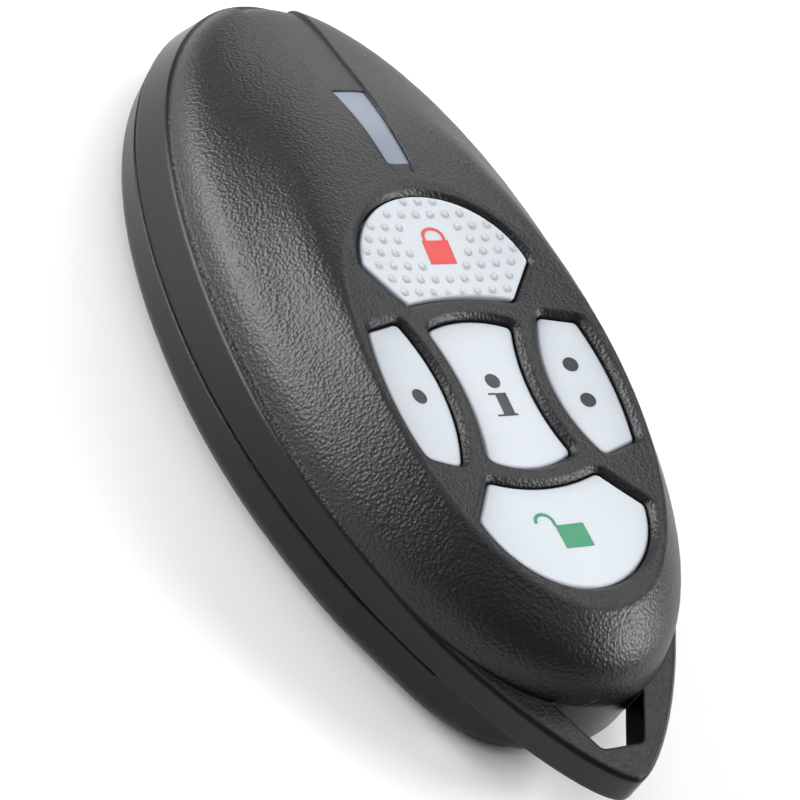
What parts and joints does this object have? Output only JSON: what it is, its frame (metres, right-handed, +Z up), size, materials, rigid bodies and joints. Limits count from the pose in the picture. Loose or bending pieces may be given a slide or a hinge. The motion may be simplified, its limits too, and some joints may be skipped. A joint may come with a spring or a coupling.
{
  "type": "alarm key fob",
  "caption": "Hand-held alarm remote: oval moulded case with a thumb dish of sprung keys, a light window and a key-ring tab.",
  "frame": {"origin": "centre of the flat base of the back cover, below the middle of the body's length", "axes": "+Z up out of the keys, +Y along the body towards the light window, X across it"},
  "size_m": [0.0362, 0.0768, 0.015],
  "materials": {
    "black_abs_grained": "spark-eroded grain",
    "black_abs_satin": "satin",
    "smoked_window": "translucent",
    "key_plastic": "translucent satin",
    "plunger_plastic": "moulded",
    "switch_body": "moulded",
    "board_laminate": "solder mask",
    "copper_track": "plated",
    "chip_epoxy": "moulded",
    "can_steel": "drawn",
    "led_resin": "clear resin",
    "ceramic_chip": "fired",
    "cell_steel": "satin",
    "spring_steel": "stamped",
    "screw_steel": "zinc plated"
  },
  "bodies": {
    "case": {"front_cover": "black_abs_grained", "back_cover": "black_abs_satin", "led_window": "smoked_window", "circuit_board": "board_laminate", "antenna_loop": "copper_track", "radio_chip": "chip_epoxy", "controller_chip": "chip_epoxy", "crystal": "can_steel", "status_led": "led_resin", "chip_capacitors": "ceramic_chip", "chip_resistors": "ceramic_chip", "coin_cell": "cell_steel", "cell_clip": "spring_steel", "cell_contact": "spring_steel", "case_screws": "screw_steel", "lock_switch": "switch_body", "info_switch": "switch_body", "one_dot_switch": "switch_body", "two_dot_switch": "switch_body", "unlock_switch": "switch_body"},
    "lock_key": {"lock_button": "key_plastic", "lock_plunger": "plunger_plastic"},
    "info_key": {"info_button": "key_plastic", "info_plunger": "plunger_plastic"},
    "one_dot_key": {"one_dot_button": "key_plastic", "one_dot_plunger": "plunger_plastic"},
    "two_dot_key": {"two_dot_button": "key_plastic", "two_dot_plunger": "plunger_plastic"},
    "unlock_key": {"unlock_button": "key_plastic", "unlock_plunger": "plunger_plastic"}
  },
  "joints": [
    {"name": "lock_press", "type": "slide", "parent": "case", "child": "lock_key", "axis": [0, 0, -1], "range_m": [0, 0.0003], "stiffness_N_per_m": 400},
    {"name": "info_press", "type": "slide", "parent": "case", "child": "info_key", "axis": [0, 0, -1], "range_m": [0, 0.0003], "stiffness_N_per_m": 400},
    {"name": "one_dot_press", "type": "slide", "parent": "case", "child": "one_dot_key", "axis": [0, 0, -1], "range_m": [0, 0.0003], "stiffness_N_per_m": 400},
    {"name": "two_dot_press", "type": "slide", "parent": "case", "child": "two_dot_key", "axis": [0, 0, -1], "range_m": [0, 0.0003], "stiffness_N_per_m": 400},
    {"name": "unlock_press", "type": "slide", "parent": "case", "child": "unlock_key", "axis": [0, 0, -1], "range_m": [0, 0.0003], "stiffness_N_per_m": 400}
  ]
}
